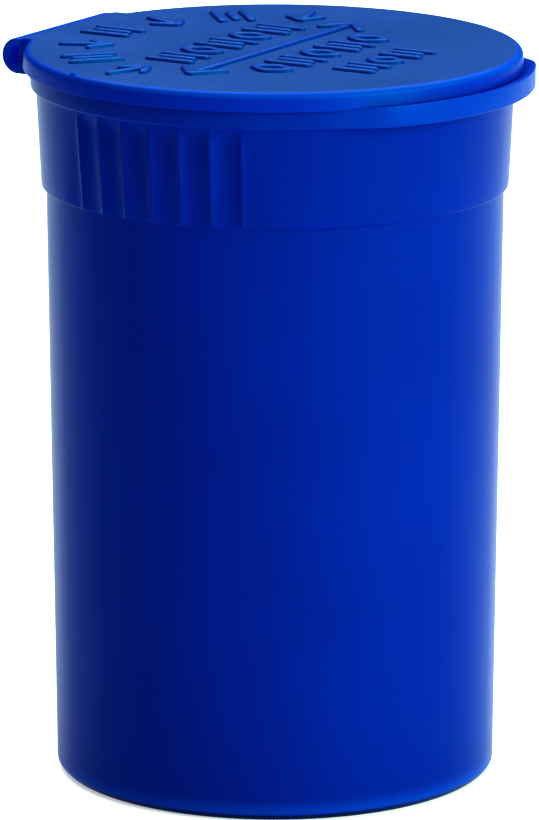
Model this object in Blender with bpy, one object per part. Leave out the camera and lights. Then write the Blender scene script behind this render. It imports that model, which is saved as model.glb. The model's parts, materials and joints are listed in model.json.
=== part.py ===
"""Pop-top squeeze vial, closed: the working members of one polypropylene moulding.

Frame: metres, +Z up, origin at the centre of the standing ring. The hinge is at +Y, the
thumb ledge at -Y, and the two squeeze grips are at -X (left) and +X (right).
"""

import math

import bmesh
import bpy
from mathutils import Vector

MM = 0.001

# Heights above the surface that the vial stands on
FLOOR_RECESS = 1.0 * MM
FLOOR_TOP = 2.3 * MM
FOOT_ROUNDING = 1.3 * MM
STEP = 64.6 * MM
BORE_STEP_LOW = 63.6 * MM
BORE_STEP_HIGH = 66.0 * MM
FLANGE_BOTTOM = 75.0 * MM
MOUTH = 76.95 * MM
LID_BOTTOM = 77.25 * MM
LID_TOP = 79.0 * MM

# Radii of the barrel, outside and inside
FOOT_EDGE = 22.9 * MM
FOOT = 23.54 * MM
SHOULDER = 24.5 * MM
COLLAR_LOW = 25.0 * MM
COLLAR_HIGH = 25.54 * MM
STANDING_RING_INNER = 20.9 * MM
BORE_FLOOR = 22.2 * MM
BORE_SHOULDER = 23.25 * MM
BORE = 24.2 * MM
SNAP_GROOVE = 24.45 * MM

# Mouth flange with its thumb ledge and hinge plate
FLANGE = 26.13 * MM
FLANGE_HOLE = 24.8 * MM
FLANGE_TOP = MOUTH - 0.1 * MM
LEDGE = 27.7 * MM
LEDGE_FULL = math.radians(34)
LEDGE_END = math.radians(50)
PLATE_HALF_WIDTH = 9.4 * MM
PLATE_EDGE = 26.7 * MM
PLATE_STEPS = 8

# Lid, with its centre a little towards the hinge, and the oval seal ring under it
LID = 26.76 * MM
LID_SHIFT = 0.2 * MM
LID_PANEL_BOTTOM = 77.6 * MM
LID_PANEL = 20.0 * MM
PLUG_BOTTOM = 74.0 * MM
PLUG_TOP = MOUTH
PLUG = 23.8 * MM
PLUG_BEAD = 24.05 * MM
PLUG_BEAD_HEIGHT = 75.9 * MM
PLUG_INNER = 22.7 * MM
PLUG_WIDTH_SHARE = 0.95

# Hinge strap: a C-shaped loop whose apex is the axis that the lid turns on
STRAP_OUTER = 2.0 * MM
STRAP_THICKNESS = 0.85 * MM
STRAP_CENTRE_Y = 26.3 * MM
STRAP_CENTRE_Z = 77.0 * MM
STRAP_HALF_WIDTH = 9.2 * MM
STRAP_STEPS = 18

# Squeeze grips: ribbed panels of the collar, which turn inwards about their lower edge
GRIP_HALF_WIDTH = 11.2 * MM
GRIP_BOTTOM = 65.6 * MM
GRIP_TOP = 74.5 * MM
GRIP_AXIS_X = 23.5 * MM
GRIP_AXIS_Z = 65.0 * MM
WINDOW_HALF_WIDTH = 11.6 * MM
WINDOW_BOTTOM = 65.1 * MM
WINDOW_TOP = 74.9 * MM
WINDOW_REACH = 30.0 * MM
RIDGES = 7
RIDGE_PITCH = math.radians(8.2)
RIDGE_LAND = 0.12
FLUTE_DEPTH = 0.45 * MM
FLUTE_STEPS = 8
GRIP_BACK_STEPS = 20

GAP = 0.3 * MM
EDGE = 0.25 * MM
SEGMENTS = 72
SHARP_ANGLE = math.radians(30)
WELD = 0.00001

BODY_BLUE = (0.0015, 0.048, 0.47, 1.0)
GRIP_BLUE = (0.002, 0.058, 0.53, 1.0)
LID_BLUE = (0.018, 0.094, 0.45, 1.0)


def clear_scene():
    for item in list(bpy.data.objects):
        bpy.data.objects.remove(item, do_unlink=True)


def plastic(name, colour, roughness):
    """Material of one member, coloured through."""
    material = bpy.data.materials.new(name)
    material.use_nodes = True
    shader = material.node_tree.nodes["Principled BSDF"]
    shader.inputs["Base Color"].default_value = colour
    shader.inputs["Roughness"].default_value = roughness
    shader.inputs["Metallic"].default_value = 0.0
    material.diffuse_color = colour
    return material


def axis_empty(name, location):
    """An empty on a joint's axis, to carry the members that turn about it."""
    empty = bpy.data.objects.new(name, None)
    empty.location = location
    empty.empty_display_size = 5 * MM
    bpy.context.scene.collection.objects.link(empty)
    return empty


def place(name, bm, material=None, parent=None):
    """Turns a bmesh in world coordinates into an object that hangs on its parent."""
    bmesh.ops.recalc_face_normals(bm, faces=bm.faces[:])
    mesh = bpy.data.meshes.new(name)
    bm.to_mesh(mesh)
    bm.free()
    mesh.shade_smooth()
    mesh.set_sharp_from_angle(angle=SHARP_ANGLE)
    if material is not None:
        mesh.materials.append(material)
    member = bpy.data.objects.new(name, mesh)
    bpy.context.scene.collection.objects.link(member)
    if parent is not None:
        mesh.transform(parent.matrix_world.inverted())
        member.parent = parent
    return member


def turned(section, width_share=1.0):
    """Spins a section of (radius, height) points about Z. It may start and end on the axis."""
    bm = bmesh.new()
    points = [bm.verts.new((radius, 0.0, height)) for radius, height in section]
    pairs = list(zip(points, points[1:]))
    if section[0][0] > 0.0:
        pairs.append((points[-1], points[0]))
    edges = [bm.edges.new(pair) for pair in pairs if pair[0].co.x + pair[1].co.x > 0.0]
    bmesh.ops.spin(
        bm,
        geom=points + edges,
        cent=(0.0, 0.0, 0.0),
        axis=(0.0, 0.0, 1.0),
        angle=math.tau,
        steps=SEGMENTS,
        use_merge=True,
    )
    bmesh.ops.remove_doubles(bm, verts=bm.verts[:], dist=WELD)
    bmesh.ops.scale(bm, vec=(width_share, 1.0, 1.0), verts=bm.verts[:])
    return bm


def lofted(rings, close_on_first=False):
    """Skins rings that have equal numbers of points, with caps or joined end to end."""
    bm = bmesh.new()
    loops = [[bm.verts.new(point) for point in ring] for ring in rings]
    pairs = list(zip(loops, loops[1:]))
    if close_on_first:
        pairs.append((loops[-1], loops[0]))
    for low, high in pairs:
        for i in range(len(low)):
            j = (i + 1) % len(low)
            bm.faces.new((low[i], low[j], high[j], high[i]))
    if not close_on_first:
        bm.faces.new(loops[0])
        bm.faces.new(loops[-1])
    return bm


def ledge_reach(angle):
    """How far the thumb ledge stands out at this angle from the front, 0 to 1."""
    share = (LEDGE_END - abs(angle)) / (LEDGE_END - LEDGE_FULL)
    share = min(1.0, max(0.0, share))
    return share * share * (3.0 - 2.0 * share)


def rim_outline(radius, centre_y=0.0, ledge=0.0):
    """Plan outline of the flange or the lid: a circle, its front ledge and its hinge plate."""
    meet = math.acos(PLATE_HALF_WIDTH / radius)
    sweep = math.pi + 2.0 * meet
    outline = []
    for i in range(SEGMENTS - 1):
        angle = meet - sweep * i / (SEGMENTS - 2)
        reach = radius + ledge * ledge_reach(angle + math.pi / 2.0)
        outline.append((reach * math.cos(angle), centre_y + reach * math.sin(angle)))
    for i in range(PLATE_STEPS + 1):
        outline.append((PLATE_HALF_WIDTH * (2 * i / PLATE_STEPS - 1), PLATE_EDGE))
    return outline


def inset_ring(outline, inset, height):
    """The outline moved in towards the vial's axis, at one height."""
    ring = []
    for x, y in outline:
        share = 1.0 - inset / math.hypot(x, y)
        ring.append(Vector((x * share, y * share, height)))
    return ring


def circle_ring(outline, radius, height):
    """A circle with a point at the same bearing as each point of the outline."""
    ring = []
    for x, y in outline:
        share = radius / math.hypot(x, y)
        ring.append(Vector((x * share, y * share, height)))
    return ring


def barrel_section():
    """Section of the wall: mouth, down the outside, foot and floor, then up the bore."""
    outside = [
        (SNAP_GROOVE, MOUTH),
        (COLLAR_HIGH - EDGE, MOUTH),
        (COLLAR_HIGH, MOUTH - EDGE),
        (COLLAR_HIGH, FLANGE_BOTTOM - EDGE),
        (COLLAR_LOW, STEP + 0.4 * MM),
        (COLLAR_LOW - 0.12 * MM, STEP + 0.12 * MM),
        (COLLAR_LOW - 0.4 * MM, STEP),
        (SHOULDER, STEP - 0.2 * MM),
        (FOOT, FOOT_ROUNDING),
        (FOOT - 0.2 * MM, 0.4 * FOOT_ROUNDING),
        (FOOT_EDGE, 0.0),
    ]
    floor = [
        (STANDING_RING_INNER, 0.0),
        (STANDING_RING_INNER - 0.4 * MM, FLOOR_RECESS),
        (0.0, FLOOR_RECESS),
        (0.0, FLOOR_TOP),
        (BORE_FLOOR - 0.4 * MM, FLOOR_TOP),
        (BORE_FLOOR, FLOOR_TOP + 0.4 * MM),
    ]
    bore = [
        (BORE_SHOULDER, BORE_STEP_LOW),
        (BORE, BORE_STEP_HIGH),
        (BORE, MOUTH - 1.45 * MM),
        (SNAP_GROOVE, MOUTH - 1.2 * MM),
        (SNAP_GROOVE, MOUTH - 0.9 * MM),
        (BORE, MOUTH - 0.65 * MM),
        (BORE, MOUTH - EDGE),
    ]
    return outside + floor + bore


def boolean(member, operation, tool):
    """Joins a shape to a member or cuts it away, and hides the shape itself."""
    tool.hide_render = True
    tool.display_type = "WIRE"
    modifier = member.modifiers.new(tool.name, "BOOLEAN")
    modifier.operation = operation
    modifier.solver = "EXACT"
    modifier.object = tool


def build_body(material):
    """Barrel, floor, collar with its two grip windows, flange, ledge and hinge plate."""
    body = place("vial_body", turned(barrel_section()), material)
    outline = rim_outline(FLANGE, ledge=LEDGE - FLANGE)
    rings = [
        circle_ring(outline, FLANGE_HOLE, FLANGE_BOTTOM),
        inset_ring(outline, EDGE, FLANGE_BOTTOM),
        inset_ring(outline, 0.0, FLANGE_BOTTOM + EDGE),
        inset_ring(outline, 0.0, FLANGE_TOP - EDGE),
        inset_ring(outline, EDGE, FLANGE_TOP),
        circle_ring(outline, FLANGE_HOLE, FLANGE_TOP),
    ]
    boolean(body, "UNION", place("flange_shape", lofted(rings, close_on_first=True)))

    window = bmesh.new()
    bmesh.ops.create_cube(window, size=1.0)
    size = (2 * WINDOW_REACH, 2 * WINDOW_HALF_WIDTH, WINDOW_TOP - WINDOW_BOTTOM)
    centre = (0.0, 0.0, (WINDOW_TOP + WINDOW_BOTTOM) / 2)
    bmesh.ops.scale(window, vec=size, verts=window.verts[:])
    bmesh.ops.translate(window, vec=centre, verts=window.verts[:])
    boolean(body, "DIFFERENCE", place("grip_window_shape", window))


def flute(angle):
    """Depth of the finger flutes at this angle from the grip's middle, 0 to 1."""
    phase = abs(angle) / RIDGE_PITCH
    if phase >= (RIDGES - 1) / 2:
        return 0.0
    from_ridge = abs(phase - round(phase))
    if from_ridge <= RIDGE_LAND:
        return 0.0
    return math.sin(math.pi / 2 * (from_ridge - RIDGE_LAND) / (0.5 - RIDGE_LAND))


def grip_ring(side, radius, height):
    """Plan outline of a grip: the fluted outer arc, then the bore's arc back."""
    edge = math.asin(GRIP_HALF_WIDTH / radius)
    ribbed = RIDGE_PITCH * (RIDGES - 1) / 2
    steps = FLUTE_STEPS * (RIDGES - 1)
    angles = [-edge]
    angles += [ribbed * (2 * i / steps - 1) for i in range(steps + 1)]
    angles += [edge]
    ring = []
    for angle in angles:
        reach = radius - FLUTE_DEPTH * flute(angle)
        x, y = reach * math.cos(angle), reach * math.sin(angle)
        ring.append(Vector((side * x, y, height)))
    inner_edge = math.asin(GRIP_HALF_WIDTH / BORE)
    for i in range(GRIP_BACK_STEPS + 1):
        angle = inner_edge * (1 - 2 * i / GRIP_BACK_STEPS)
        x, y = BORE * math.cos(angle), BORE * math.sin(angle)
        ring.append(Vector((side * x, y, height)))
    return ring


def build_grip(name, side, material):
    """Ribbed finger panel on one side, hung on an axis along its lower edge."""
    axis = axis_empty(name + "_axis", (side * GRIP_AXIS_X, 0.0, GRIP_AXIS_Z))
    bpy.context.view_layer.update()
    taper = (COLLAR_HIGH - COLLAR_LOW) / (FLANGE_BOTTOM - STEP)
    low = COLLAR_LOW + taper * (GRIP_BOTTOM - STEP)
    high = COLLAR_LOW + taper * (GRIP_TOP - STEP)
    rings = [grip_ring(side, low, GRIP_BOTTOM), grip_ring(side, high, GRIP_TOP)]
    place(name, lofted(rings), material, axis)


def build_lid(lid_material, plug_material):
    """Flat lid with its hinge plate, and the oval seal ring under it."""
    centre_radius = STRAP_OUTER - STRAP_THICKNESS / 2
    axis_y = STRAP_CENTRE_Y + centre_radius
    axis = axis_empty("lid_hinge_axis", (0.0, axis_y, STRAP_CENTRE_Z))
    bpy.context.view_layer.update()

    outline = rim_outline(LID, centre_y=LID_SHIFT)
    rings = [
        circle_ring(outline, LID_PANEL, LID_PANEL_BOTTOM),
        circle_ring(outline, LID_PANEL + EDGE, LID_BOTTOM),
        inset_ring(outline, 0.1 * MM, LID_BOTTOM),
        inset_ring(outline, 0.0, LID_BOTTOM + 0.1 * MM),
        inset_ring(outline, 0.15 * MM, LID_TOP - 0.8 * MM),
        inset_ring(outline, 0.4 * MM, LID_TOP - 0.25 * MM),
        inset_ring(outline, 0.9 * MM, LID_TOP),
    ]
    place("lid_disc", lofted(rings), lid_material, axis)

    seal = [
        (PLUG_INNER, PLUG_TOP),
        (PLUG, PLUG_TOP),
        (PLUG - 0.05 * MM, PLUG_BEAD_HEIGHT + 0.45 * MM),
        (PLUG_BEAD, PLUG_BEAD_HEIGHT),
        (PLUG - 0.05 * MM, PLUG_BEAD_HEIGHT - 0.45 * MM),
        (PLUG - 0.2 * MM, PLUG_BOTTOM + 0.4 * MM),
        (PLUG - 0.5 * MM, PLUG_BOTTOM),
        (PLUG_INNER + 0.2 * MM, PLUG_BOTTOM),
        (PLUG_INNER, PLUG_BOTTOM + 0.4 * MM),
    ]
    place("lid_plug", turned(seal, PLUG_WIDTH_SHARE), plug_material, axis)


def build_strap(material):
    """C-shaped strap between the hinge plates, open towards the vial."""
    inner = STRAP_OUTER - STRAP_THICKNESS
    end = math.acos((PLATE_EDGE + GAP - STRAP_CENTRE_Y) / STRAP_OUTER)
    inner_end = math.acos((PLATE_EDGE + GAP - STRAP_CENTRE_Y) / inner)
    rings = []
    for i in range(STRAP_STEPS + 1):
        share = 2 * i / STRAP_STEPS - 1
        ring = []
        for radius, limit in ((STRAP_OUTER, end), (inner, inner_end)):
            y = STRAP_CENTRE_Y + radius * math.cos(share * limit)
            z = STRAP_CENTRE_Z + radius * math.sin(share * limit)
            sides = (-STRAP_HALF_WIDTH, STRAP_HALF_WIDTH)
            if radius == inner:
                sides = sides[::-1]
            ring += [Vector((x, y, z)) for x in sides]
        rings.append(ring)
    place("hinge_strap", lofted(rings), material)


clear_scene()
BODY_PLASTIC = plastic("body_blue", BODY_BLUE, 0.34)
GRIP_PLASTIC = plastic("grip_blue", GRIP_BLUE, 0.38)
LID_PLASTIC = plastic("lid_blue", LID_BLUE, 0.55)
build_body(BODY_PLASTIC)
build_grip("grip_left", -1, GRIP_PLASTIC)
build_grip("grip_right", 1, GRIP_PLASTIC)
build_lid(LID_PLASTIC, BODY_PLASTIC)
build_strap(BODY_PLASTIC)
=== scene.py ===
"""The looks of a pop-top squeeze vial: one blue polypropylene moulding with its lid closed.

Row frame: metres, +Z up, hinge at +Y, thumb ledge at -Y, squeeze grips at -X and +X.
"""

import json
import math

import bmesh
import bpy
import numpy as np
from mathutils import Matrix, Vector


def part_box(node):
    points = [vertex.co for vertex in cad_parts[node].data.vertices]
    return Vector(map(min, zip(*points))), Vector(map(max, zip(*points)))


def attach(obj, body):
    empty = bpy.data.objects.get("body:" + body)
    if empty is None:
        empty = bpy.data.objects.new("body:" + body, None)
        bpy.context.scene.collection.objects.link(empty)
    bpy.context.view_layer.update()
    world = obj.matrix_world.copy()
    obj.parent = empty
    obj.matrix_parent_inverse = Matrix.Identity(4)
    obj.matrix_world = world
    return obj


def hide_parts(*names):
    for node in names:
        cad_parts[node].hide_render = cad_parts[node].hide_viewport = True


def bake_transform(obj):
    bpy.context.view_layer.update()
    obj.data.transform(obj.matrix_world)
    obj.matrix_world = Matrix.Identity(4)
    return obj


MM = 0.001

# Meshes: points nearer to the axis than this are on it, points nearer together than this are
# one, and edges that turn by more than this many degrees are sharp
ON_AXIS = 1e-9
MERGE = 1e-6
SHARP = 35

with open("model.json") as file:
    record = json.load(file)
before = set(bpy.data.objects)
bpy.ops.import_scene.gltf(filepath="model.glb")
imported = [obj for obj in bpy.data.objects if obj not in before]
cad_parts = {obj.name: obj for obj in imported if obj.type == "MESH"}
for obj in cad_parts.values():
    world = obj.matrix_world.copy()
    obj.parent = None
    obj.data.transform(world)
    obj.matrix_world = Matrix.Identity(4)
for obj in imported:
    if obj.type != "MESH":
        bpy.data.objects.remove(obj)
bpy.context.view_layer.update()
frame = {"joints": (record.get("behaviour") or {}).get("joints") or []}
BODY_LOW, BODY_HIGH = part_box("vial_body")
LID_LOW, LID_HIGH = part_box("lid_disc")
PLUG_LOW, PLUG_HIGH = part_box("lid_plug")
STRAP_LOW, STRAP_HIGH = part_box("hinge_strap")
GRIP_LOW, GRIP_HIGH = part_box("grip_right")
HINGE = Vector(frame["joints"][0]["pos_m"])

# Heights and radii that the fine surface adds to the frame's own
STEP = GRIP_LOW.z - 1.3 * MM
SEAM_HEIGHT = STEP - 0.25 * MM
FLANGE_BOTTOM = GRIP_HIGH.z + 0.5 * MM
MOUTH = BODY_HIGH.z
SHOULDER = 24.5 * MM
FOOT = 23.72 * MM
FOOT_BEVEL = 0.72 * MM
# Height of the zone at the foot where the wall's colour holds painted shade and painted light
FOOT_PAINTED_ZONE = 2.5 * MM
COLLAR_LOW = 25.02 * MM
COLLAR_HIGH = 25.54 * MM
FLANGE = BODY_HIGH.x
LEDGE = 0.1 * MM - BODY_LOW.y
BORE = 24.2 * MM
BORE_LOW = 23.25 * MM
BORE_FLOOR = 22.2 * MM
BORE_STEP = STEP - 1.0 * MM
GROOVE_DEPTH = 0.25 * MM
GROOVE_TOP = MOUTH - 0.65 * MM
GROOVE_BOTTOM = MOUTH - 1.45 * MM
FLOOR_TOP = 2.3 * MM
FLOOR_RECESS = 1.0 * MM
RING_INNER = 20.7 * MM
PLATE_HALF_WIDTH = STRAP_HIGH.x + 0.2 * MM
PLATE_EDGE = BODY_HIGH.y
PLATE_FILLET = 0.5 * MM
PLATE_CORNER = 0.35 * MM
COLUMN_STEP = math.radians(1.5)

# Marks of the mould's gate: a shallow dimple in the floor and a low pip under it
DIMPLE_RADIUS = 3.2 * MM
DIMPLE_DEPTH = 0.12 * MM
PIP_RADIUS = 1.3 * MM
PIP_HEIGHT = 0.35 * MM

# Thumb ledge, whose outer edge is turned up into a low lip
LEDGE_FULL = math.radians(31)
LEDGE_END = math.radians(48)
# Where along Y the painted light on the thumb ledge starts and where it is full
LEDGE_LIGHT_FROM = -16.6 * MM
LEDGE_LIGHT_FULL = -19.4 * MM
LIP_HEIGHT = 0.33 * MM
LIP_FOOT = 25.84 * MM
LIP_CREST = 25.98 * MM

# Finger flutes: concave channels that meet in beaded ridges and run out below the flange.
# Places across them are in ridge pitches from the middle ridge.
LAST_RIDGE = 3
RIDGE_PITCH = math.radians(7.75)
RIDGE_LAND = 0.05
FLUTE_DEEP = 0.52 * MM
FLUTE_SHALLOW = 0.22 * MM
GRIP_LEAN = 0.26 * MM
FLUTE_TOP = FLANGE_BOTTOM - 0.45 * MM
FLUTE_RUNOUT = 0.8 * MM
RIDGE_BEAD = 0.09 * MM
BEAD_REACH = 0.11
COLUMN_PHASES = (0.0, 0.035, 0.07, 0.11, 0.2, 0.35, 0.5, 0.65, 0.8, 0.89, 0.93, 0.965)
FINE_MARGIN = 0.01
COARSE_MARGIN = 0.06

# The lid sits a little towards the hinge, and its top ends in a rounded edge
LID_SHIFT = 0.2 * MM
LID_EDGE_WIDTH = 2.4 * MM
LID_EDGE_BLEND = 1.6 * MM
NUB_RADIUS = 0.46 * MM
NUB_DROP = 0.24 * MM
NUB_PLACE = (-24.08 * MM, 9.96 * MM)
RING_OVAL = 0.93

# Raised marks: the left half of a stroke's section as shares (across, up), and the turns, in
# degrees, at which the sections of its round ends are taken
MARK_HEIGHT = 0.36 * MM
MARK_WIDTH = 1.02 * MM
MARK_SECTION = [(-1.0, -0.4), (-1.0, 0.0), (-0.86, 0.62), (-0.6, 0.93), (-0.25, 1.0)]
MARK_END = (70, 45, 22)

# The marks' layout, in millimetres and degrees: their shift, the inset of their stroke's ends
# and half their width, then an arc, rows as (count, pitch, y, height) and a long double arrow
MARK_SHIFT = -1.5
MARK_INSET = 0.5
MARK_HALF = 1.6
ARC_COUNT = 7
ARC_RADIUS = 19.4
ARC_MIDDLE = 90.5
ARC_PITCH = 24.0
ARC_TALL = 6.2
ROWS = ((5, 4.9, 5.2, 6.0), (5, 5.0, -6.5, 5.8), (3, 4.8, -14.4, 5.2))
LONG_ARROW_Y = -0.7
LONG_ARROW_HALF = 15.2
LONG_ARROW_TIP = 16.9
LONG_ARROW_WING = (14.0, 2.4)

# Where the collar is split into its two halves, as bearings from +X, and how far from the axis,
# at the mouth, a line down each half starts
SEAM_FRONT = math.radians(-68)
SEAM_BACK = math.radians(69)
FOLD_RADIUS = 11.0 * MM

# Plastic: its refractive index, the tint of its sheen, the colour of a painted glow that stands
# for light through thin plastic, the size of its clouds, how far they and the gloss vary, and how
# flow streaks stretch
REFRACTION = 1.49
SHEEN = (0.0, 0.8, 1.0, 1.0)
PAINTED_THROUGH_GLOW = (0.0, 0.07, 1.0, 1.0)
CLOUD_SCALE = 55.0
CLOUD_SPREAD = 0.22
GLOSS_SPREAD = 0.025
STREAK_STRETCH = (420.0, 420.0, 14.0)
STREAK_RANGE = (0.3, 0.7)

# The foot's colours, painted shade on the bevel and painted light just above it, the shares of
# the foot zone's height where the painted shade ends and the painted light begins, and the
# painted light on the thumb ledge
FOOT_PAINTED_SHADE = (0.0, 0.004, 0.075)
FOOT_PAINTED_LIGHT = (0.0, 0.043, 0.31)
PAINTED_SHADE_END = 0.2
PAINTED_LIGHT_START = 0.33
LEDGE_PAINTED_LIGHT = (0.0, 0.035, 0.285, 1.0)

# Floor and sky
FLOOR_RADIUS = 6.0
FLOOR_GAP = 0.05 * MM
FLOOR_COLOUR = (0.50, 0.60, 0.59, 1.0)
FLOOR_GLOW = (0.94, 0.95, 1.0, 1.0)
FLOOR_GLOW_STRENGTH = 0.35
SKY = (0.60, 0.80, 1.0, 1.0)
SKY_STRENGTH = 0.085

# Camera: its place and lens, and its aim, which is a little to the left of the vial's middle
CAMERA_PLACE = (-0.6173, -0.3709, 0.2113)
CAMERA_LENS = 301.2
VIEW_MIDDLE = (0.0, 0.0, 39.2 * MM)
VIEW_ASIDE = 0.6

# Lights, placed by the directions to the right of the view and towards the camera
RIGHT = Vector((0.5150, -0.8572, 0.0))
TOWARDS = Vector((-0.8572, -0.5150, 0.0))
LIGHT_TARGET = (0.0, 0.0, 0.04)
KEY_PLACE = RIGHT * 0.70 + TOWARDS * 0.55 + Vector((0, 0, 0.34))
KEY_SIZE = (0.55, 0.7)
KEY_POWER = 13.6
KEY_COLOUR = (0.65, 1.0, 0.58)
TOP_PLACE = TOWARDS * -0.35 + Vector((0, 0, 1.1))
TOP_SIZE = (1.5, 1.5)
TOP_POWER = 25.0


# ---------------------------------------------------------------- outlines and sections


def smooth(share):
    """0 to 1 with a soft start and end."""
    share = min(1.0, max(0.0, share))
    return share * share * (3.0 - 2.0 * share)


def curve_through(a, corner, b, steps):
    """Points of the rounded corner between a and b."""
    points = []
    for i in range(steps + 1):
        t = i / steps
        points.append(a * (1 - t) ** 2 + corner * 2 * t * (1 - t) + b * t * t)
    return points


def rounded(corners, steps=5, closed=False):
    """A path through (x, y, rounding) corners, each rounded by its own amount."""
    path = []
    count = len(corners)
    for i, (x, y, reach) in enumerate(corners):
        here = Vector((x, y))
        at_end = not closed and i in (0, count - 1)
        if reach <= 0.0 or at_end:
            path.append(here)
            continue
        before = Vector(corners[i - 1][:2]) - here
        after = Vector(corners[(i + 1) % count][:2]) - here
        reach = min(reach, 0.49 * before.length, 0.49 * after.length)
        first = here + before.normalized() * reach
        last = here + after.normalized() * reach
        path += curve_through(first, here, last, steps)
    return path


def spaced(path, longest):
    """The path with points added so that no run is longer than this."""
    dense = [path[0]]
    for a, b in zip(path, path[1:]):
        parts = max(1, math.ceil((b - a).length / longest))
        dense += [a.lerp(b, i / parts) for i in range(1, parts + 1)]
    return dense


def ledge_reach(angle):
    """How far the thumb ledge stands out at this bearing, 0 to 1."""
    off_front = abs((angle + math.pi / 2 + math.pi) % math.tau - math.pi)
    return smooth((LEDGE_END - off_front) / (LEDGE_END - LEDGE_FULL))


def off_grip(angle):
    """Angle from the middle of the nearer grip, at +X or -X."""
    return abs((angle + math.pi / 2) % math.pi - math.pi / 2)


def flute(angle):
    """Depth of the finger flutes at this bearing, 0 to 1."""
    phase = off_grip(angle) / RIDGE_PITCH
    if phase > LAST_RIDGE:
        return 0.0
    from_ridge = abs(phase - round(phase))
    share = max(0.0, from_ridge - RIDGE_LAND) / (0.5 - RIDGE_LAND)
    return 1.0 - (1.0 - share) ** 2


def bead(angle):
    """Height of the ridges' narrow beads at this bearing, 0 to 1."""
    phase = off_grip(angle) / RIDGE_PITCH
    nearest = min(round(phase), LAST_RIDGE)
    return smooth(1.0 - abs(phase - nearest) / BEAD_REACH)


def bearings(radius):
    """Bearings of the columns round a rim: coarse, but with each ridge and flute resolved."""
    meet = math.acos(PLATE_HALF_WIDTH / radius)
    last = LAST_RIDGE
    phases = {k + phase for k in range(-last - 1, last + 1) for phase in COLUMN_PHASES}
    phases = [phase for phase in phases if abs(phase) < last + BEAD_REACH + FINE_MARGIN]
    fine = [side + phase * RIDGE_PITCH for side in (0.0, -math.pi) for phase in phases]
    zone = (last + BEAD_REACH + COARSE_MARGIN) * RIDGE_PITCH
    steps = math.ceil((math.pi + 2 * meet) / COLUMN_STEP)
    coarse = [meet - (math.pi + 2 * meet) * i / steps for i in range(steps + 1)]
    coarse = [angle for angle in coarse if off_grip(angle) > zone]
    return sorted(fine + coarse, reverse=True)


def rim_outline(radius, edge_y, centre_y=0.0, ledge=0.0):
    """Plan outline of a rim: its circle, the front ledge and the hinge plate's corners."""
    arc = []
    for angle in bearings(radius):
        reach = radius + ledge * ledge_reach(angle)
        arc.append((reach * math.cos(angle), centre_y + reach * math.sin(angle), 0.0))
    arc[0] = (arc[0][0], arc[0][1], PLATE_FILLET)
    arc[-1] = (arc[-1][0], arc[-1][1], PLATE_FILLET)
    arc.append((-PLATE_HALF_WIDTH, edge_y, PLATE_CORNER))
    steps = 16
    for i in range(1, steps):
        arc.append((PLATE_HALF_WIDTH * (2 * i / steps - 1), edge_y, 0.0))
    arc.append((PLATE_HALF_WIDTH, edge_y, PLATE_CORNER))
    return rounded(arc, steps=4, closed=True)


def collar_section():
    """Half-section from the barrel's shoulder, over the collar and the mouth, into the bore."""
    corners = [
        (SHOULDER, SEAM_HEIGHT, 0.0),
        (SHOULDER + 0.02 * MM, STEP, 0.16 * MM),
        (COLLAR_LOW, STEP + 0.02 * MM, 0.5 * MM),
        (COLLAR_HIGH, FLANGE_BOTTOM + 0.02 * MM, 0.5 * MM),
        (FLANGE, FLANGE_BOTTOM, 0.34 * MM),
        (FLANGE, MOUTH, 0.14 * MM),
        (LIP_CREST, MOUTH, 0.0),
        (LIP_CREST - 0.07 * MM, MOUTH, 0.0),
        (LIP_FOOT, MOUTH, 0.0),
        (LIP_FOOT - 0.08 * MM, MOUTH, 0.0),
        (BORE, MOUTH, 0.4 * MM),
        (BORE, GROOVE_TOP, 0.1 * MM),
        (BORE + GROOVE_DEPTH, GROOVE_TOP - GROOVE_DEPTH, 0.1 * MM),
        (BORE + GROOVE_DEPTH, GROOVE_BOTTOM + GROOVE_DEPTH, 0.1 * MM),
        (BORE, GROOVE_BOTTOM, 0.1 * MM),
        (BORE, BORE_STEP + 2.4 * MM, 1.0 * MM),
        (BORE_LOW + 0.02 * MM, BORE_STEP + 0.3 * MM, 0.3 * MM),
        (BORE_LOW, BORE_STEP, 0.0),
    ]
    return spaced(rounded(corners), 1.0 * MM)


def barrel_section():
    """Half-section from the bore's step down to the floor, under the foot and up outside."""
    corners = [
        (BORE_LOW, BORE_STEP, 0.0),
        (BORE_FLOOR, FLOOR_TOP, 1.0 * MM),
        (DIMPLE_RADIUS, FLOOR_TOP, 0.2 * MM),
        (DIMPLE_RADIUS - 0.3 * MM, FLOOR_TOP - DIMPLE_DEPTH, 0.2 * MM),
        (0.0, FLOOR_TOP - DIMPLE_DEPTH, 0.0),
    ]
    inside = spaced(rounded(corners), 4.0 * MM)
    corners = [
        (0.0, FLOOR_RECESS - PIP_HEIGHT, 0.0),
        (PIP_RADIUS - 0.2 * MM, FLOOR_RECESS - PIP_HEIGHT, 0.2 * MM),
        (PIP_RADIUS, FLOOR_RECESS, 0.2 * MM),
        (RING_INNER - 0.5 * MM, FLOOR_RECESS, 0.4 * MM),
        (RING_INNER, 0.0, 0.3 * MM),
        (FOOT - FOOT_BEVEL, 0.0, 0.3 * MM),
        (FOOT, FOOT_BEVEL, 0.4 * MM),
        (SHOULDER, SEAM_HEIGHT, 0.0),
    ]
    outside = spaced(rounded(corners, steps=8), 4.0 * MM)
    return inside + outside


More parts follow.
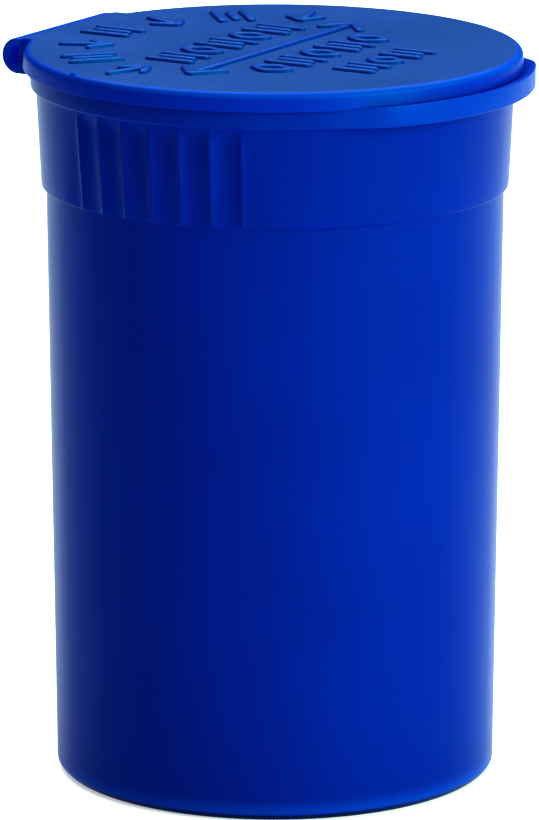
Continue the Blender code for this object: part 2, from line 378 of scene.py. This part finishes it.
def collar_point(radius, height, angle, rim_reach, outside):
    """A point of the section at this bearing, with flutes, ledge and hinge plate worked in."""
    if height >= FLUTE_TOP:
        share = (radius - COLLAR_HIGH) / (FLANGE - COLLAR_HIGH)
        reach = radius + (rim_reach - FLANGE) * smooth(share)
        up = smooth((height - FLANGE_BOTTOM) / (MOUTH - FLANGE_BOTTOM))
        crest = smooth((radius - LIP_FOOT) / (LIP_CREST - LIP_FOOT))
        height += LIP_HEIGHT * ledge_reach(angle) * up * crest
    elif outside:
        down = max(0.0, (FLUTE_TOP - height) / (FLUTE_TOP - STEP))
        depth = FLUTE_DEEP + (FLUTE_SHALLOW - FLUTE_DEEP) * down
        depth = depth * flute(angle) - RIDGE_BEAD * bead(angle)
        depth *= smooth((FLUTE_TOP - height) / FLUTE_RUNOUT)
        phase = off_grip(angle) / RIDGE_PITCH
        depth += GRIP_LEAN * down * smooth(LAST_RIDGE + 1 - phase)
        low = min(1.0, max(0.0, (radius - SHOULDER) / (COLLAR_LOW - SHOULDER)))
        reach = radius - depth * low
    else:
        reach = radius
    return Vector((reach * math.cos(angle), reach * math.sin(angle), height))


# ---------------------------------------------------------------- meshes


def mesh_object(name, mesh, materials):
    """The mesh as an object of the scene, with these materials."""
    thing = bpy.data.objects.new(name, mesh)
    bpy.context.scene.collection.objects.link(thing)
    for material in materials:
        mesh.materials.append(material)
    return thing


def from_bmesh(name, bm, materials, sharp=SHARP):
    """A smooth object, with sharp edges where it turns by more than this, in degrees."""
    bmesh.ops.recalc_face_normals(bm, faces=bm.faces[:])
    mesh = bpy.data.meshes.new(name)
    bm.to_mesh(mesh)
    bm.free()
    mesh.shade_smooth()
    mesh.set_sharp_from_angle(angle=math.radians(sharp))
    return mesh_object(name, mesh, materials)


def skin(bm, rings, cap_ends=True, closed_rows=False):
    """Quads between closed rings of points, with optional end caps."""
    rows = [[bm.verts.new(point) for point in ring] for ring in rings]
    pairs = list(zip(rows, rows[1:]))
    if closed_rows:
        pairs.append((rows[-1], rows[0]))
    count = len(rows[0])
    for low, high in pairs:
        for i in range(count):
            j = (i + 1) % count
            bm.faces.new((low[i], low[j], high[j], high[i]))
    if cap_ends and not closed_rows:
        bm.faces.new(rows[0])
        bm.faces.new(rows[-1])


def turned(name, section, columns, materials, share=(1.0, 1.0), offset=(0.0, 0.0)):
    """A turned piece: its section's closed or axis-to-axis path, spun round Z."""
    bm = bmesh.new()
    rings = []
    for radius, height in section:
        ring = []
        for i in range(columns):
            angle = math.tau * i / columns
            x = radius * math.cos(angle) * share[0] + offset[0]
            y = radius * math.sin(angle) * share[1] + offset[1]
            ring.append(Vector((x, y, height)))
        rings.append(ring)
    on_axis = section[0][0] < ON_AXIS
    skin(bm, rings, cap_ends=False, closed_rows=not on_axis)
    bmesh.ops.remove_doubles(bm, verts=bm.verts[:], dist=MERGE)
    return from_bmesh(name, bm, materials)


# ---------------------------------------------------------------- the vial's wall


def wall_rings():
    """Rings of the whole wall: collar rows first, then the barrel's, on shared columns."""
    outline = rim_outline(FLANGE, PLATE_EDGE, ledge=LEDGE - FLANGE)
    angles = [math.atan2(point.y, point.x) for point in outline]
    rings = []
    outside = True
    for point in collar_section():
        outside = outside and point.y < MOUTH - 0.01 * MM
        columns = zip(angles, outline)
        ring = [collar_point(point.x, point.y, a, rim.length, outside) for a, rim in columns]
        rings.append(ring)
    seam_row = len(rings) - 1
    for point in barrel_section()[1:-1]:
        spokes = [(math.cos(angle), math.sin(angle)) for angle in angles]
        rings.append([Vector((point.x * c, point.x * s, point.y)) for c, s in spokes])
    return rings, seam_row, angles


def whole_wall(rings):
    """Points of the whole wall, its quads row by row, and the smooth normals at their corners."""
    row_count, column_count = len(rings), len(rings[0])
    points = [point for ring in rings for point in ring]
    quads = []
    for row in range(row_count):
        low, high = row * column_count, (row + 1) % row_count * column_count
        for i in range(column_count):
            j = (i + 1) % column_count
            quads.append((high + i, high + j, low + j, low + i))
    mesh = bpy.data.meshes.new("whole_wall")
    mesh.from_pydata(points, [], quads)
    mesh.shade_smooth()
    mesh.set_sharp_from_angle(angle=math.radians(SHARP))
    normals = np.zeros(len(mesh.loops) * 3, np.float32)
    mesh.corner_normals.foreach_get("vector", normals)
    bpy.data.meshes.remove(mesh)
    return points, quads, normals.reshape(-1, 4, 3)


def wall_pieces(wall_material, rim_material):
    """The wall as three closed pieces that meet without a line: the barrel and two collar
    halves, which carry the smooth wall's own normals where they meet."""
    rings, seam_row, angles = wall_rings()
    points, quads, normals = whole_wall(rings)
    column_count = len(angles)

    def side_of(column):
        """The collar half that the faces between this column and the next belong to."""
        angle = angles[column]
        nxt = angles[(column + 1) % column_count]
        turn = (nxt - angle + math.pi) % math.tau - math.pi
        middle = (angle + turn / 2 + math.pi) % math.tau - math.pi
        return "right" if SEAM_FRONT < middle < SEAM_BACK else "left"

    def closing(columns, ends):
        """Faces that close a piece: the ring where it meets the seam row, and its cut ends."""
        low = seam_row * column_count
        ring = []
        for i in columns:
            j = (i + 1) % column_count
            ring.append((low + i, low + j, j, i))
        return ring + [[row * column_count + i for row in range(seam_row + 1)] for i in ends]

    sides = [side_of(column) for column in range(column_count)]
    cuts = [i for i in range(column_count) if sides[i] != sides[i - 1]]
    closed = {"vial_barrel": closing(range(column_count), ())}
    for side in ("left", "right"):
        own = [i for i in range(column_count) if sides[i] == side]
        closed["collar_" + side] = closing(own, cuts)

    groups = {name: [] for name in closed}
    for index in range(len(quads)):
        row, column = divmod(index, column_count)
        name = "vial_barrel" if row >= seam_row else "collar_" + sides[column]
        groups[name].append(index)
    pieces = {}
    for name, chosen in groups.items():
        mesh = wall_piece(name, chosen, closed[name], points, quads, normals)
        pieces[name] = mesh_object(name, mesh, [wall_material, rim_material])
        for polygon in mesh.polygons:
            # The flange's faces take the flange material, which holds the thumb ledge's painted
            # light
            on_flange = polygon.center.z > FLANGE_BOTTOM - 0.05 * MM
            polygon.material_index = 1 if on_flange else 0
    return pieces


def wall_piece(name, chosen, closing, points, quads, normals):
    """Mesh of one closed piece, with the whole wall's normals on its visible faces."""
    places = {}
    bm = bmesh.new()

    def vertex(v):
        """The piece's vertex at this point, one for all the points that meet on the axis."""
        on_axis = math.hypot(points[v].x, points[v].y) < ON_AXIS
        key = ("axis", points[v].z) if on_axis else v
        if key not in places:
            places[key] = (len(places), bm.verts.new(points[v]))
        return places[key]

    shown = []
    for index in chosen:
        corners = dict.fromkeys(vertex(v) for v in quads[index])
        if len(corners) > 2:
            bm.faces.new([vert for _, vert in corners])
            shown.append(index)
    ends = [bm.faces.new([vertex(v)[1] for v in face]) for face in closing]
    ends = [face for face in ends if len(face.verts) > 4]
    bm.normal_update()
    bmesh.ops.triangulate(bm, faces=ends, ngon_method="BEAUTY")
    bmesh.ops.recalc_face_normals(bm, faces=bm.faces[:])
    used = {v for index in chosen for v in quads[index]}
    vertex_at = {v: vertex(v)[0] for v in used}
    mesh = bpy.data.meshes.new(name)
    bm.to_mesh(mesh)
    bm.free()
    mesh.shade_smooth()
    custom = np.zeros((len(mesh.loops), 3), np.float32)
    for polygon in mesh.polygons:
        loops = list(polygon.loop_indices)
        if polygon.index < len(shown):
            index = shown[polygon.index]
            own = {vertex_at[v]: k for k, v in enumerate(quads[index])}
            for loop in loops:
                corner = own[mesh.loops[loop].vertex_index]
                custom[loop] = normals[index][corner]
        else:
            for loop in loops:
                custom[loop] = polygon.normal
    mesh.normals_split_custom_set(custom.tolist())
    return mesh


# ---------------------------------------------------------------- the lid


def build_lid(top_material, side_material, edge_highlight_material):
    """Flat lid: hollowed underside, a low lip that closes on the flange, a rounded top edge
    and the hinge plate."""
    rim, top = LID_HIGH.x, LID_HIGH.z
    outline = rim_outline(rim, LID_HIGH.y, centre_y=LID_SHIFT)
    underside = LID_LOW.z
    lip = MOUTH + 0.04 * MM
    lip_inside = FLANGE + 0.14 * MM
    ring_inside = PLUG_HIGH.y - 1.8 * MM
    hollow = underside + 0.45 * MM
    edge = rim - LID_EDGE_WIDTH
    corners = [
        (0.0, hollow, 0.0),
        (ring_inside, hollow, 0.3 * MM),
        (ring_inside + 0.4 * MM, underside, 0.3 * MM),
        (lip_inside, underside, 0.06 * MM),
        (lip_inside + 0.04 * MM, lip, 0.06 * MM),
        (rim, lip, 0.1 * MM),
        (rim - 0.18 * MM, top, 0.8 * MM),
        (edge, top, 0.0),
        (0.0, top, 0.0),
    ]
    bm = bmesh.new()
    rings = []
    for radius, height in spaced(rounded(corners, steps=8), 3.0 * MM):
        share = smooth((radius - edge) / LID_EDGE_BLEND)
        ring = []
        for column in outline:
            full = column.length - (rim - radius)
            reach = radius + (full - radius) * share
            spoke = column.normalized() * reach
            ring.append(Vector((spoke.x, spoke.y, height)))
        rings.append(ring)
    skin(bm, rings, cap_ends=False)
    bmesh.ops.remove_doubles(bm, verts=bm.verts[:], dist=MERGE)
    lid = from_bmesh("lid", bm, [side_material, top_material, edge_highlight_material])
    # Upward-sloping faces of the rounded top edge take the brighter rim material: a painted
    # highlight
    flat, sloping = 0.985, 0.3
    for polygon in lid.data.polygons:
        below_top = top - polygon.center.z
        if polygon.normal.z > flat and below_top < 0.1 * MM:
            polygon.material_index = 1
        elif polygon.normal.z > sloping and below_top < 1.0 * MM:
            polygon.material_index = 2
    return lid


def build_plug(material):
    """Oval seal ring with its snap bead, moulded onto the lid's underside."""
    outer = PLUG_HIGH.y - 0.25 * MM
    inner = PLUG_HIGH.y - 1.35 * MM
    bottom = PLUG_LOW.z
    top = LID_LOW.z + 0.1 * MM
    bead = bottom + 1.9 * MM
    corners = [
        (outer, top, 0.0),
        (outer, bead + 0.55 * MM, 0.2 * MM),
        (outer + 0.25 * MM, bead, 0.3 * MM),
        (outer - 0.05 * MM, bead - 0.6 * MM, 0.2 * MM),
        (outer - 0.25 * MM, bottom, 0.45 * MM),
        (inner + 0.15 * MM, bottom, 0.3 * MM),
        (inner, top, 0.0),
    ]
    section = [(point.x, point.y) for point in rounded(corners)]
    return turned("lid_seal_ring", section, 192, [material], share=(RING_OVAL, 1.0))


def stroke(bm, path, width, closed=False):
    """A raised stroke along a plan path: sloping sides, rounded shoulders and round ends."""
    half = width / 2
    profile = MARK_SECTION + [(-across, up) for across, up in reversed(MARK_SECTION)]
    count = len(path)
    rings = []

    def ring_at(place, aside, narrow):
        """Adds the section at this place, narrowed and lowered by this share."""
        low = LID_HIGH.z
        points = [place + aside * (across * half * narrow) for across, _ in profile]
        heights = [low + MARK_HEIGHT * (up * narrow if up > 0.0 else up) for _, up in profile]
        rings.append([Vector((p.x, p.y, z)) for p, z in zip(points, heights)])

    for i, point in enumerate(path):
        before = path[i - 1] if closed or i > 0 else point
        after = path[(i + 1) % count] if closed or i < count - 1 else point
        along = (after - before).normalized()
        aside = Vector((-along.y, along.x))
        ends = () if closed else MARK_END
        if i == 0:
            for turn in ends:
                back = along * (half * math.sin(math.radians(turn)))
                ring_at(point - back, aside, math.cos(math.radians(turn)))
        ring_at(point, aside, 1.0)
        if i == count - 1:
            for turn in reversed(ends):
                ahead = along * (half * math.sin(math.radians(turn)))
                ring_at(point + ahead, aside, math.cos(math.radians(turn)))
    skin(bm, rings, cap_ends=not closed, closed_rows=closed)


def placed(corners, turn, centre):
    """Plan path through corners with (x, y, rounding) in millimetres, turned and moved."""
    c, s = math.cos(turn), math.sin(turn)
    path = []
    for x, y, reach in corners:
        place = (c * x - s * y + centre[0], s * x + c * y + centre[1])
        path.append((place[0] * MM, place[1] * MM, reach * MM))
    return path


def build_marks(material):
    """Raised pictograms with no lettering: a double arrow from grip to grip, and rows and an
    arc of arrows, tallies and lozenges that stand where such a lid is usually marked."""
    bm = bmesh.new()

    def draw(corners, turn, centre, closed=False):
        path = rounded(placed(corners, turn, centre), steps=4, closed=closed)
        stroke(bm, path, MARK_WIDTH, closed)

    def arrow(centre, turn, tall):
        """An arrow that points along local -Y."""
        end = tall / 2 - MARK_INSET
        draw([(0.0, end, 0.0), (0.0, 1.25 - end, 0.0)], turn, centre)
        wing = [(-1.75, 2.1 - end, 0.0), (0.0, -end, 0.3), (1.75, 2.1 - end, 0.0)]
        draw(wing, turn, centre)

    def tally(centre, turn, tall):
        """Three strokes side by side, the middle one shorter."""
        for x, share in ((-MARK_HALF, 1.0), (0.0, 0.72), (MARK_HALF, 1.0)):
            end = (tall / 2 - MARK_INSET) * share
            draw([(x, end, 0.0), (x, -end, 0.0)], turn, centre)

    def lozenge(centre, turn, tall):
        """A closed outline, pointed at both ends."""
        end = tall / 2 - 0.6
        corners = [
            (0.0, end, 0.7),
            (-MARK_HALF, 0.0, 0.9),
            (0.0, -end, 0.7),
            (MARK_HALF, 0.0, 0.9),
        ]
        draw(corners, turn, centre, closed=True)

    for i in range(ARC_COUNT):
        angle = math.radians(ARC_MIDDLE + ARC_PITCH * (ARC_COUNT // 2 - i))
        centre = (ARC_RADIUS * math.cos(angle) + MARK_SHIFT, ARC_RADIUS * math.sin(angle))
        shape = (arrow, tally)[i % 2]
        shape(centre, angle - math.pi / 2, ARC_TALL)

    for row, (count, pitch, y, tall) in enumerate(ROWS):
        for i in range(count):
            x = (i - (count - 1) / 2) * pitch + MARK_SHIFT
            shape = (tally, lozenge)[(i + row) % 2]
            shape((x, y), 0.0, tall)

    middle = (MARK_SHIFT, LONG_ARROW_Y)
    draw([(-LONG_ARROW_HALF, 0.0, 0.0), (LONG_ARROW_HALF, 0.0, 0.0)], 0.0, middle)
    for side in (-1, 1):
        x, y = side * LONG_ARROW_WING[0], LONG_ARROW_WING[1]
        draw([(x, y, 0.0), (side * LONG_ARROW_TIP, 0.0, 0.3), (x, -y, 0.0)], 0.0, middle)
    return from_bmesh("lid_marks", bm, [material], sharp=60)


def build_nub(material):
    """Small round mould nub on the lid's rounded rim."""
    middle = LID_HIGH.z - NUB_DROP
    steps = 10
    turns = [math.pi * i / steps for i in range(steps + 1)]
    section = [(NUB_RADIUS * math.sin(t), middle + NUB_RADIUS * math.cos(t)) for t in turns]
    return turned("lid_nub", section, 20, [material], offset=NUB_PLACE)


# ---------------------------------------------------------------- the hinge


def build_strap(material, inside_glow_material):
    """C-shaped moulded loop from the flange's hinge plate round to the lid's."""
    outer = (STRAP_HIGH.z - STRAP_LOW.z) / 2 + 0.07 * MM
    thickness = 0.8 * MM
    centre_y = PLATE_EDGE + 0.15 * MM
    centre_z = HINGE.z - 0.1 * MM
    leg_y = PLATE_EDGE - 0.7 * MM
    middle = outer - thickness / 2
    half = PLATE_HALF_WIDTH - 0.12 * MM
    corners = [
        (-half, -thickness / 2, 0.3 * MM),
        (half, -thickness / 2, 0.3 * MM),
        (half, thickness / 2, 0.3 * MM),
        (-half, thickness / 2, 0.3 * MM),
    ]
    profile = spaced(rounded(corners, steps=4, closed=True), 2.4 * MM)
    steps = 28
    turns = [math.pi * (i / steps - 0.5) for i in range(steps + 1)]
    path = [(leg_y, turns[0])] + [(centre_y, turn) for turn in turns] + [(leg_y, turns[-1])]
    bm = bmesh.new()
    rings = []
    for start_y, turn in path:
        c, s = math.cos(turn), math.sin(turn)
        reaches = [(point.x, middle + point.y) for point in profile]
        rings.append([Vector((x, start_y + r * c, centre_z + r * s)) for x, r in reaches])
    skin(bm, rings)
    bmesh.ops.remove_doubles(bm, verts=bm.verts[:], dist=MERGE)
    loop = from_bmesh("hinge_loop", bm, [material, inside_glow_material])
    # Faces inside the loop take the glowing material: painted light in the loop's shaded hollow
    faces_inwards = 0.8
    for polygon in loop.data.polygons:
        inwards = Vector((0.0, centre_y, centre_z)) - polygon.center
        inwards.x = 0.0
        if polygon.normal.dot(inwards) > faces_inwards * inwards.length:
            polygon.material_index = 1
    return loop


# ---------------------------------------------------------------- materials


def node(tree, kind, **settings):
    """A new node; each setting is an input's value or else a property."""
    made = tree.nodes.new(kind)
    for key, value in settings.items():
        if key in made.inputs:
            made.inputs[key].default_value = value
        else:
            setattr(made, key, value)
    return made


def share_along(tree, place, axis, start, end, easing="LINEAR"):
    """How far the place is from start to end along an axis, 0 to 1."""
    split = node(tree, "ShaderNodeSeparateXYZ")
    tree.links.new(place, split.inputs[0])
    share = node(tree, "ShaderNodeMapRange", interpolation_type=easing)
    share.inputs["From Min"].default_value = start
    share.inputs["From Max"].default_value = end
    tree.links.new(split.outputs[axis], share.inputs["Value"])
    return share.outputs["Result"]


def mixed(tree, factor, colour):
    """A mix that starts from this colour: its other colour's socket and its result."""
    mix = node(tree, "ShaderNodeMix", data_type="RGBA")
    sockets = {socket.identifier: socket for socket in mix.inputs}
    tree.links.new(factor, sockets["Factor_Float"])
    tree.links.new(colour, sockets["A_Color"])
    result = next(socket for socket in mix.outputs if socket.identifier == "Result_Color")
    return sockets["B_Color"], result


def with_foot_shade_and_light(tree, place, colour):
    """The wall's colour with painted shade and painted light at the foot: painted shade on the
    bevel, and painted light, as of the floor's bounce, just above it."""
    height = share_along(tree, place, "Z", 0.0, FOOT_PAINTED_ZONE)
    zone = node(tree, "ShaderNodeValToRGB")
    zone.color_ramp.interpolation = "EASE"
    stops = zone.color_ramp.elements
    stops[0].color = (*FOOT_PAINTED_SHADE, 1.0)
    stops[1].color = (*FOOT_PAINTED_LIGHT, 0.0)
    stops.new(PAINTED_SHADE_END).color = (*FOOT_PAINTED_SHADE, 1.0)
    stops.new(PAINTED_LIGHT_START).color = (*FOOT_PAINTED_LIGHT, 1.0)
    tree.links.new(height, zone.inputs["Fac"])
    other, result = mixed(tree, zone.outputs["Alpha"], colour)
    tree.links.new(zone.outputs["Color"], other)
    return result


def with_ledge_light(tree, place, colour):
    """The rim's colour with painted light on the thumb ledge, which is made brighter than the
    rest.
    """
    front = share_along(tree, place, "Y", LEDGE_LIGHT_FROM, LEDGE_LIGHT_FULL, easing="SMOOTHSTEP")
    other, result = mixed(tree, front, colour)
    other.default_value = LEDGE_PAINTED_LIGHT
    return result


def polypropylene(
    name,
    light,
    deep,
    rough,
    specular,
    grain_size=0.35 * MM,
    grain_depth=0.003 * MM,
    speckle=0.0,
    foot=False,
    ledge=False,
    painted_glow=0.0,
):
    """Opaque moulded polypropylene: cloudy pigment, faint flow streaks and a fine grain. Its
    sheen is azure, and white only where the surface is seen edge-on. Where asked, it glows
    faintly
    blue: painted light that stands for light coming through thin plastic."""
    material = bpy.data.materials.new(name)
    material.use_nodes = True
    tree = material.node_tree
    links = tree.links
    shader = tree.nodes["Principled BSDF"]
    shader.inputs["Metallic"].default_value = 0.0
    shader.inputs["IOR"].default_value = REFRACTION
    shader.inputs["Specular IOR Level"].default_value = specular
    shader.inputs["Specular Tint"].default_value = SHEEN
    # Painted glow, standing for light that comes through thin plastic
    shader.inputs["Emission Color"].default_value = PAINTED_THROUGH_GLOW
    shader.inputs["Emission Strength"].default_value = painted_glow
    place = node(tree, "ShaderNodeTexCoord").outputs["Object"]

    cloud = node(tree, "ShaderNodeTexNoise", Scale=CLOUD_SCALE, Detail=4.0, Roughness=0.55)
    links.new(place, cloud.inputs["Vector"])
    specks = node(tree, "ShaderNodeTexNoise", Scale=1.0 / grain_size, Detail=2.0)
    links.new(place, specks.inputs["Vector"])
    blend = node(tree, "ShaderNodeMath", operation="MULTIPLY_ADD")
    blend.inputs[1].default_value = speckle
    links.new(specks.outputs["Fac"], blend.inputs[0])
    links.new(cloud.outputs["Fac"], blend.inputs[2])
    shades = node(tree, "ShaderNodeValToRGB")
    centre = 0.5 + 0.5 * speckle
    shades.color_ramp.elements[0].position = centre - CLOUD_SPREAD
    shades.color_ramp.elements[0].color = (*deep, 1.0)
    shades.color_ramp.elements[1].position = centre + CLOUD_SPREAD
    shades.color_ramp.elements[1].color = (*light, 1.0)
    links.new(blend.outputs[0], shades.inputs["Fac"])
    colour = shades.outputs["Color"]
    # Painted shade on the foot's bevel and painted light just above it
    if foot:
        colour = with_foot_shade_and_light(tree, place, colour)
    # Painted light on the thumb ledge
    if ledge:
        colour = with_ledge_light(tree, place, colour)
    links.new(colour, shader.inputs["Base Color"])

    stretch = node(tree, "ShaderNodeMapping")
    stretch.inputs["Scale"].default_value = STREAK_STRETCH
    links.new(place, stretch.inputs["Vector"])
    streaks = node(tree, "ShaderNodeTexNoise", Scale=1.0, Detail=3.0)
    links.new(stretch.outputs["Vector"], streaks.inputs["Vector"])
    gloss = node(tree, "ShaderNodeMapRange")
    gloss.inputs["From Min"].default_value = STREAK_RANGE[0]
    gloss.inputs["From Max"].default_value = STREAK_RANGE[1]
    gloss.inputs["To Min"].default_value = rough - GLOSS_SPREAD
    gloss.inputs["To Max"].default_value = rough + GLOSS_SPREAD
    links.new(streaks.outputs["Fac"], gloss.inputs["Value"])
    links.new(gloss.outputs["Result"], shader.inputs["Roughness"])

    bump = node(tree, "ShaderNodeBump", Strength=1.0, Distance=grain_depth)
    links.new(specks.outputs["Fac"], bump.inputs["Height"])
    links.new(bump.outputs["Normal"], shader.inputs["Normal"])
    return material


def floor_material():
    """Plain pale surface that glows a little, so that no shadow darkens it."""
    material = bpy.data.materials.new("floor_pale")
    material.use_nodes = True
    shader = material.node_tree.nodes["Principled BSDF"]
    shader.inputs["Base Color"].default_value = FLOOR_COLOUR
    shader.inputs["Roughness"].default_value = 0.9
    shader.inputs["Specular IOR Level"].default_value = 0.1
    shader.inputs["Emission Color"].default_value = FLOOR_GLOW
    shader.inputs["Emission Strength"].default_value = FLOOR_GLOW_STRENGTH
    return material


# ---------------------------------------------------------------- stage


def area_light(name, place, size, power, colour=(1.0, 1.0, 1.0)):
    """A rectangular light that faces the vial."""
    data = bpy.data.lights.new(name, "AREA")
    data.shape = "RECTANGLE"
    data.size, data.size_y = size
    data.energy = power
    data.color = colour
    lamp = bpy.data.objects.new(name, data)
    lamp.location = place
    aim = Vector(LIGHT_TARGET) - place
    lamp.rotation_euler = aim.to_track_quat("-Z", "Y").to_euler()
    bpy.context.scene.collection.objects.link(lamp)


def build_stage():
    """A wide round floor just under the foot, and an even sky."""
    bm = bmesh.new()
    bmesh.ops.create_circle(bm, cap_ends=True, radius=FLOOR_RADIUS, segments=96)
    floor = from_bmesh("floor", bm, [floor_material()])
    floor.location.z = -FLOOR_GAP
    if floor.data.polygons[0].normal.z < 0:
        floor.data.flip_normals()

    world = bpy.data.worlds.new("studio")
    world.use_nodes = True
    background = world.node_tree.nodes["Background"]
    background.inputs["Color"].default_value = SKY
    background.inputs["Strength"].default_value = SKY_STRENGTH
    bpy.context.scene.world = world


def build_camera():
    """Long lens a little above the vial, turned 59 degrees from its front to the left grip."""
    middle, place = Vector(VIEW_MIDDLE), Vector(CAMERA_PLACE)
    sideways = (middle - place).cross(Vector((0, 0, 1))).normalized()
    aim = middle - sideways * VIEW_ASIDE * MM
    data = bpy.data.cameras.new("camera")
    data.lens = CAMERA_LENS
    data.clip_start = 0.01
    data.clip_end = 50.0
    camera = bpy.data.objects.new("camera", data)
    camera.location = place
    camera.rotation_euler = (aim - place).to_track_quat("-Z", "Y").to_euler()
    bpy.context.scene.collection.objects.link(camera)
    bpy.context.scene.camera = camera
    bpy.context.scene.view_settings.view_transform = "Standard"
    bpy.context.scene.view_settings.look = "Very High Contrast"


def build_lights():
    """A large top light, and a key from the right that leaves the front left in shade."""
    area_light("key_light", KEY_PLACE, KEY_SIZE, KEY_POWER, colour=KEY_COLOUR)
    area_light("top_light", TOP_PLACE, TOP_SIZE, TOP_POWER)


# ---------------------------------------------------------------- assembly

build_camera()
build_stage()
build_lights()

SATIN = polypropylene(
    "polypropylene_satin",
    light=(0.0, 0.0215, 0.238),
    deep=(0.0, 0.019, 0.215),
    rough=0.32,
    specular=0.08,
    grain_depth=0.002 * MM,
    foot=True,
)
LID_EDGE = polypropylene(
    "polypropylene_lid_edge",
    light=(0.0, 0.028, 0.30),
    deep=(0.0, 0.024, 0.275),
    rough=0.42,
    specular=0.16,
)
# The hinge loop takes a lighter copy of the plastic, painted light; its inside also glows
# faintly, painted light in its shaded hollow
HINGE_LOOP_PAINTED_LIGHT, HINGE_INSIDE_GLOW = (
    polypropylene(
        name,
        light=(0.0, 0.05, 0.34),
        deep=(0.0, 0.044, 0.31),
        rough=0.42,
        specular=0.12,
        painted_glow=painted_glow,
    )
    for name, painted_glow in (("polypropylene_hinge", 0.0), ("polypropylene_hinge_inside_glow", 0.15))
)
# Brighter copy of the plastic: a painted highlight on the lid's rounded top edge and on its nub
RIM_HIGHLIGHT = polypropylene(
    "polypropylene_rim_highlight",
    light=(0.0, 0.050, 0.32),
    deep=(0.0, 0.043, 0.29),
    rough=0.45,
    specular=0.12,
)
# The flange, with painted light on its thumb ledge
FLANGE_LEDGE_LIGHT = polypropylene(
    "polypropylene_flange_ledge_light",
    light=(0.0, 0.0255, 0.25),
    deep=(0.0, 0.0225, 0.225),
    rough=0.36,
    specular=0.10,
    ledge=True,
)
LID_TOP = polypropylene(
    "polypropylene_lid_grain",
    light=(0.014, 0.053, 0.198),
    deep=(0.005, 0.040, 0.165),
    rough=0.58,
    specular=0.15,
    grain_size=0.42 * MM,
    grain_depth=0.03 * MM,
    speckle=0.6,
)
MARK = polypropylene(
    "polypropylene_marks",
    light=(0.0, 0.042, 0.24),
    deep=(0.0, 0.034, 0.205),
    rough=0.45,
    specular=0.25,
    grain_size=0.5 * MM,
    grain_depth=0.05 * MM,
)

pieces = wall_pieces(SATIN, FLANGE_LEDGE_LIGHT)
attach(pieces["vial_barrel"], "vial")
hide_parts("vial_body")
for side, name in ((-1, "left"), (1, "right")):
    collar = pieces["collar_" + name]
    fold = Vector((side * FOLD_RADIUS, 0.0, MOUTH))
    foot = Vector((side * COLLAR_LOW, 0.0, STEP))
    line = (foot - fold).normalized()
    across = Vector((side, 0.0, 0.0))
    across = (across - line * across.dot(line)).normalized()
    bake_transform(collar)
    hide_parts("grip_" + name)

lid = build_lid(LID_TOP, LID_EDGE, RIM_HIGHLIGHT)
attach(lid, "lid")
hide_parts("lid_disc")
plug = build_plug(SATIN)
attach(plug, "lid")
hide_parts("lid_plug")
for extra in (build_marks(MARK), build_nub(RIM_HIGHLIGHT)):
    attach(extra, "lid")

strap = build_strap(HINGE_LOOP_PAINTED_LIGHT, HINGE_INSIDE_GLOW)
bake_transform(strap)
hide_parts("hinge_strap")
